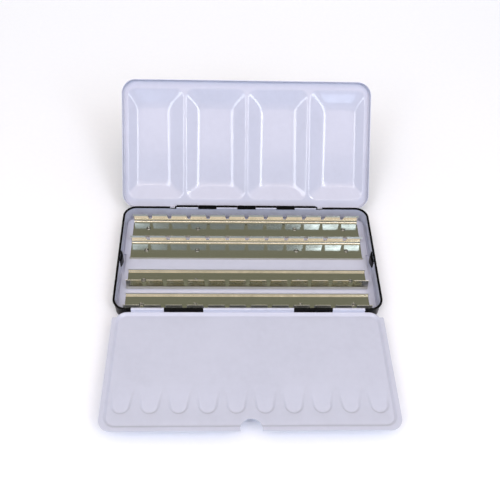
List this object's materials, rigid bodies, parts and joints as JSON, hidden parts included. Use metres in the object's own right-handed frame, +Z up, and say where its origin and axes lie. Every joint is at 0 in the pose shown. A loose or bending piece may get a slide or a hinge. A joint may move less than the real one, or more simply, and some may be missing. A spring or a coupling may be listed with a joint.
{
  "type": "watercolor pan tin",
  "caption": "Folding enamelled paint tin: shallow tray with clip rails for half pans, a hinged lid with mixing wells and a hinged mixing flap, shown open and empty.",
  "frame": {"origin": "centre of the underside of the base tin", "axes": "+X along the long side, +Y towards the lid's hinge, +Z up"},
  "size_m": [0.2328, 0.313, 0.0962],
  "materials": {
    "black_enamel": "gloss black enamel outside, white enamel inside",
    "white_enamel": "gloss white enamel",
    "tin_plate": "bright tin plate",
    "rivet_tin": "bright tin plate",
    "hinge_wire": "black lacquered steel wire"
  },
  "bodies": {
    "base": {"base_tin": "black_enamel", "rear_hinge_pin": "hinge_wire", "front_hinge_pin": "hinge_wire"},
    "lid": {"lid": "white_enamel"},
    "flap": {"mixing_flap": "white_enamel"},
    "insert": {"insert_plate": "white_enamel", "clip_rail_1": "tin_plate", "clip_rail_2": "tin_plate", "clip_rail_3": "tin_plate", "clip_rail_4": "tin_plate", "rail_rivets_1": "rivet_tin", "rail_rivets_2": "rivet_tin", "rail_rivets_3": "rivet_tin", "rail_rivets_4": "rivet_tin"}
  },
  "joints": [
    {"name": "lid_hinge", "type": "hinge", "parent": "base", "child": "lid", "pos_m": [0, 0.05845, 0.0148], "axis": [1, 0, 0], "range_deg": [0, 136]},
    {"name": "flap_hinge", "type": "hinge", "parent": "base", "child": "flap", "pos_m": [0, -0.057, 0.0146], "axis": [-1, 0, 0], "range_deg": [0, 177.2]},
    {"name": "insert_lift", "type": "slide", "parent": "base", "child": "insert", "axis": [0, 0, 1], "range_m": [0, 0.06]}
  ]
}
